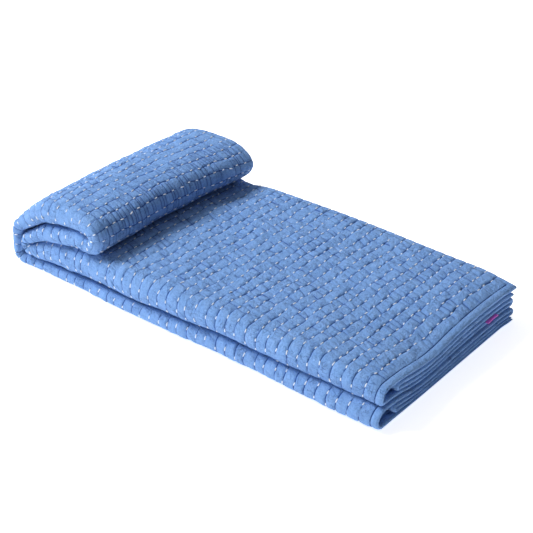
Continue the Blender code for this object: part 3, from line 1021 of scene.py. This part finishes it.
def buildLabel(shift):
    x, z, heading, height = [float(value) for value in onFold(clothLength)]
    depth = height / 2 + label["down"] * float(sum(layerOf(height)))
    seat = x + depth * math.sin(heading) + label["seat"]
    level = z - depth * math.cos(heading)
    bpy.ops.object.select_all(action="DESELECT")
    alongSteps, acrossSteps = label["steps"]
    bpy.ops.mesh.primitive_grid_add(x_subdivisions=alongSteps, y_subdivisions=acrossSteps, size=1)
    piece = bpy.context.object
    piece.name = "wovenLabel"
    flat = np.array([vertex.co for vertex in piece.data.vertices])
    across = flat[:, 1]
    travel = flat[:, 0] * 2  # -1 at the lower leaf's end, 0 at the bend, 1 at the upper leaf's end
    leafLength = label["reach"] - 1.5 * label["leaf"]
    turned = np.clip(travel / label["bend"], -1, 1) * math.pi / 2
    along = np.where(
        np.abs(travel) < label["bend"],
        leafLength + label["leaf"] * np.cos(turned),
        leafLength * (1 - (np.abs(travel) - label["bend"]) / (1 - label["bend"])),
    )
    turn, start = label["bowTurn"]
    bow = label["bow"] * (along / leafLength) * np.sin(turn * across + start)
    up = label["leaf"] * np.sin(turned) + bow
    points = settle(seat + along, label["y"] + across * label["width"], level + up) + shift
    piece.data.vertices.foreach_set("co", points.astype(np.float32).ravel())
    thick = piece.modifiers.new("thickness", "SOLIDIFY")
    thick.thickness = label["thickness"]
    thick.offset = 0
    bpy.ops.object.modifier_apply(modifier=thick.name)
    piece.location = (0, 0, 0)
    bpy.ops.object.shade_smooth()
    bpy.ops.object.select_all(action="DESELECT")
    return piece


# The materials.
def linear(hexColour):
    channels = [int(hexColour[start : start + 2], 16) / 255 for start in (1, 3, 5)]
    return (*[c / 12.92 if c <= 0.04045 else ((c + 0.055) / 1.055) ** 2.4 for c in channels], 1)


def addNode(material, kind, output, inputs=None, **settings):
    # gives the named output of a new node; its inputs are values, or outputs of other nodes
    node = material.node_tree.nodes.new("ShaderNode" + kind)
    for name, value in settings.items():
        setattr(node, name, value)
    for name, value in (inputs or {}).items():
        if isinstance(value, bpy.types.NodeSocket):
            material.node_tree.links.new(value, node.inputs[name])
        else:
            node.inputs[name].default_value = value
    return node.outputs[output]


def newMaterial(name, surface):
    material = bpy.data.materials.new(name)
    material.use_nodes = True
    shader = material.node_tree.nodes["Principled BSDF"]
    for key, value in {"Sheen Roughness": 0.5, "Specular IOR Level": 0.2, **surface}.items():
        shader.inputs[key].default_value = value
    return material


def connect(material, colour, normal):
    shader = material.node_tree.nodes["Principled BSDF"]
    material.node_tree.links.new(colour, shader.inputs["Base Color"])
    material.node_tree.links.new(normal, shader.inputs["Normal"])
    return material


cotton = {
    "blue": "#7EACEA",
    "paler": "#89B4EF",
    "fleckShade": "#5C89D2",
    # the deep blue that is painted as shade down in the creases and grooves
    "crease": "#1C4AA0",
    "surface": {"Roughness": 0.88, "Sheen Weight": 0.08},
    "slub": 0.011,  # metres, like all the sizes here
    "slubRange": {"From Min": 0.35, "From Max": 0.70},
    "fleck": 0.0017,
    "fleckRange": {"From Min": 0.42, "From Max": 0.72, "To Max": 0.46},
    "rowLine": {"From Max": 0.05, "To Min": 0.45, "To Max": 0.0},  # painted shade along a row of stitches: its share of the pitch, and how dark
    "creaseEase": 1.1,
    "crumple": 0.0030,
    "crumpleBump": {"Strength": 1.0, "Distance": 0.0031},
    "threadPitch": 0.0009,  # the real weave is finer than the picture shows
    "threadBump": {"Strength": 0.12, "Distance": 0.0002},
    "hairCreases": ((0.0130, 0.0040), (0.0042, 0.0110)),  # reach of the finest ones, across rows and along
    "hairLine": {"From Max": 0.014, "To Min": 1.0, "To Max": 0.0},
    "hairPatch": 0.016,
    "hairRange": {"From Min": 0.42, "From Max": 0.58, "To Max": 0.60},
    "hairBump": {"Strength": 0.8, "Distance": 0.0008},
}


def hairCreases(material, clothPlace):
    # wavy hair-fine creases that come and go, some along the rows of stitches and some across them
    def scaled(scale):
        return addNode(material, "VectorMath", "Vector", {0: clothPlace, 1: scale}, operation="MULTIPLY")

    lines = []
    for across, along in cotton["hairCreases"]:
        waves = addNode(material, "TexNoise", "Fac", {
            "Vector": scaled((rowPitch / across, 1 / along, 1.0)), "Scale": 1.0, "Detail": 1.5,
        })
        off = addNode(material, "Math", "Value", {0: waves, 1: 0.5}, operation="SUBTRACT")
        away = addNode(material, "Math", "Value", {0: off}, operation="ABSOLUTE")
        lines.append(addNode(material, "MapRange", "Result", {"Value": away, **cotton["hairLine"]}))
    both = addNode(material, "Math", "Value", {0: lines[0], 1: lines[1]}, operation="MAXIMUM")
    patches = addNode(material, "TexNoise", "Fac", {
        "Vector": scaled((rowPitch, 1.0, 1.0)), "Scale": 1 / cotton["hairPatch"],
    })
    shown = addNode(material, "MapRange", "Result", {"Value": patches, **cotton["hairRange"]})
    return addNode(material, "Math", "Value", {0: both, 1: shown}, operation="MULTIPLY")


def cottonMaterial(name, paintedRowShade):
    # Plain-weave cotton, piece-dyed, washed after stitching: matt, faintly fuzzy, crumpled between the
    # stitches, paler in random patches, and painted with shade, deep blue, down in the creases.
    material = newMaterial(name, cotton["surface"])
    clothPlace = addNode(material, "Attribute", "Vector", attribute_name="clothPlace")
    crease = addNode(material, "Attribute", "Fac", attribute_name="crease")
    where = addNode(material, "TexCoord", "Object")

    # the dye: slubs take less of it, and flecks of yarn more
    slub = addNode(material, "TexNoise", "Fac", {
        "Vector": where, "Scale": 1 / cotton["slub"], "Detail": 3.0,
    })
    worn = addNode(material, "MapRange", "Result", {"Value": slub, **cotton["slubRange"]})
    fleck = addNode(material, "TexNoise", "Fac", {
        "Vector": where, "Scale": 1 / cotton["fleck"], "Detail": 2.0, "Roughness": 0.7,
    })
    yarn = addNode(material, "MapRange", "Result", {"Value": fleck, **cotton["fleckRange"]})

    depth = crease
    if paintedRowShade:
        # painted shade along a row of stitches, where it pinches the cloth to a sharp line, half a
        # millimetre wide
        row = addNode(material, "SeparateXYZ", "X", {"Vector": clothPlace})
        away = addNode(material, "Math", "Value", {0: row, 1: 0.5}, operation="PINGPONG")
        near = addNode(material, "MapRange", "Result", {"Value": away, **cotton["rowLine"]})
        pinched = addNode(material, "Math", "Value", {0: near, 1: crease}, operation="MULTIPLY")
        depth = addNode(material, "Math", "Value", {0: crease, 1: pinched}, operation="ADD", use_clamp=True)
    hair = hairCreases(material, clothPlace)
    # painted shade: the more closed a crease, groove or hair crease, the more of the deep crease blue
    deepest = addNode(material, "Math", "Value", {0: depth, 1: hair}, operation="MAXIMUM")
    paintedShade = addNode(material, "Math", "Value", {0: deepest, 1: cotton["creaseEase"]}, operation="POWER")
    colour = linear(cotton["blue"])
    for shade, factor in (("paler", worn), ("fleckShade", yarn), ("crease", paintedShade)):
        mixed = {"A": colour, "B": linear(cotton[shade]), "Factor": factor}
        colour = addNode(material, "Mix", "Result", mixed, data_type="RGBA")

    # the surface: hair creases pressed in, then the crumple, then the threads
    crumple = addNode(material, "TexNoise", "Fac", {
        "Vector": where, "Scale": 1 / cotton["crumple"], "Detail": 4.0, "Roughness": 0.75,
    })
    threads = addNode(material, "TexWave", "Fac", {
        "Vector": where, "Scale": 0.5 / cotton["threadPitch"], "Distortion": 1.5,
    }, wave_type="BANDS")
    below = {}
    for height, bump in ((hair, "hairBump"), (crumple, "crumpleBump"), (threads, "threadBump")):
        raised = {"Height": height, **cotton[bump], **below}
        below = {"Normal": addNode(material, "Bump", "Normal", raised, invert=bump == "hairBump")}
    return connect(material, colour, below["Normal"])


# Two-ply cotton quilting thread, twisted and washed: near white, matt, with soft slanting plies.
thread = {
    "colours": ("#F4FAFF", "#E6F1FF"),
    "surface": {"Roughness": 0.75, "Sheen Weight": 0.1},
    "soil": 1 / 140,  # metres across, about 7 mm
    "ribs": 1800,  # to a metre
    "direction": "DIAGONAL",
    "bump": {"Strength": 0.3, "Distance": 0.0002},
}
# Woven polyester ribbon: tight crosswise ribs that catch the light, painted as a highlight; a slight sheen;
# bright magenta.
ribbon = {
    # in and on the ribs, paler on them as a painted highlight
    "colours": ("#E458CC", "#F280DE"),
    "surface": {"Roughness": 0.5, "Sheen Weight": 0.2},
    "soil": None,
    "ribs": 1400,
    "direction": "Y",
    "bump": {"Strength": 0.2, "Distance": 0.0002},
}


def ribbedMaterial(name, look):
    # ribs or plies stand out; soil tints the thread, and on the ribbon the ribs are painted paler as a
    # highlight
    material = newMaterial(name, look["surface"])
    where = addNode(material, "TexCoord", "Object")
    ribs = addNode(material, "TexWave", "Fac", {
        "Vector": where, "Scale": look["ribs"] / 2,
    }, wave_type="BANDS", bands_direction=look["direction"])
    tint = ribs
    if look["soil"]:
        tint = addNode(material, "TexNoise", "Fac", {
            "Vector": where, "Scale": 1 / look["soil"], "Detail": 2.0,
        })
    first, second = [linear(colour) for colour in look["colours"]]
    colour = addNode(material, "Mix", "Result", {"A": first, "B": second, "Factor": tint}, data_type="RGBA")
    normal = addNode(material, "Bump", "Normal", {"Height": ribs, **look["bump"]})
    return connect(material, colour, normal)


shift = middleShift()
print("the fold's place in the frame:", np.round(shift, 4))
quiltPiece = counted("quilted cloth", buildQuilt(shift))
bindingPiece = counted("binding", buildBinding(shift))
stitchPiece = counted("stitches", buildStitches(shift))
labelPiece = counted("label", buildLabel(shift))

quiltPiece.data.materials.append(cottonMaterial("quiltedCotton", True))
bindingPiece.data.materials.append(cottonMaterial("cottonBinding", False))
stitchPiece.data.materials.append(ribbedMaterial("quiltingThread", thread))
labelPiece.data.materials.append(ribbedMaterial("wovenRibbon", ribbon))
print("materials ready")

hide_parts("quilt")
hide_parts("binding")
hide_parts("label")
for piece in (quiltPiece, bindingPiece, stitchPiece, labelPiece):
    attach(piece, "root")
print("pieces ready")

studio = {
    "floorSize": 40.0,
    "floorHeight": -0.0003,
    # White cast acrylic sheet, lit from below for catalogue pictures: matt, and shadows on it stay faint.
    "litAcrylic": {
        "Roughness": 0.9,
        "Sheen Weight": 0.0,
        "Base Color": linear("#F4F4F6"),
        "Emission Color": linear("#FFFFFF"),
        "Emission Strength": 0.71,
    },
    "world": "#FFFFFF",
    "worldStrength": (0.68, 0.07),  # at the left and at the right
    "keyPlace": (-1.95, -0.95, 2.35),
    "keySize": 1.2,
    "keyPower": 110,
}
camera = {
    "place": (0.4941764, -0.7642736, 0.7246216),  # measured from the open end and the near side
    "elevation": 31.15,
    "azimuth": 39.13,
    "pixelFocal": 1274,
    "imageWidth": 533,
    "sensor": 36,
    "clipStart": 0.01,
}


def addStudio():
    bpy.ops.mesh.primitive_plane_add(size=studio["floorSize"], location=(0, 0, studio["floorHeight"]))
    floor = bpy.context.object
    floor.name = "studioFloor"
    floor.data.materials.append(newMaterial("litAcrylic", studio["litAcrylic"]))
    world = bpy.data.worlds.new("studioWorld")
    bpy.context.scene.world = world
    world.use_nodes = True
    background = world.node_tree.nodes["Background"]
    background.inputs["Color"].default_value = linear(studio["world"])
    side = addNode(world, "SeparateXYZ", "X", {"Vector": addNode(world, "TexCoord", "Generated")})
    left, right = studio["worldStrength"]
    strength = addNode(world, "MapRange", "Result", {
        "Value": side, "From Min": -1.0, "From Max": 1.0, "To Min": left, "To Max": right,
    })
    world.node_tree.links.new(strength, background.inputs["Strength"])
    bpy.ops.object.light_add(type="AREA", location=studio["keyPlace"])
    key = bpy.context.object
    key.name = "keyLight"
    key.data.size = studio["keySize"]
    key.data.energy = studio["keyPower"]
    key.rotation_euler = (-Vector(studio["keyPlace"])).to_track_quat("-Z", "Y").to_euler()


def addCamera(shift):
    data = bpy.data.cameras.new("photoCamera")
    data.sensor_width = camera["sensor"]
    data.lens = camera["pixelFocal"] / camera["imageWidth"] * camera["sensor"]
    data.clip_start = camera["clipStart"]
    eye = bpy.data.objects.new("photoCamera", data)
    bpy.context.scene.collection.objects.link(eye)
    up, around = math.radians(camera["elevation"]), math.radians(camera["azimuth"])
    looking = Vector((-math.sin(around) * math.cos(up), math.cos(around) * math.cos(up), -math.sin(up)))
    eye.location = Vector(camera["place"]) + Vector((shift[0], shift[1], 0))
    eye.rotation_euler = looking.to_track_quat("-Z", "Y").to_euler()
    bpy.context.scene.camera = eye


bpy.context.scene.view_settings.view_transform = "Standard"
addStudio()
addCamera(shift)
print("studio and camera ready")
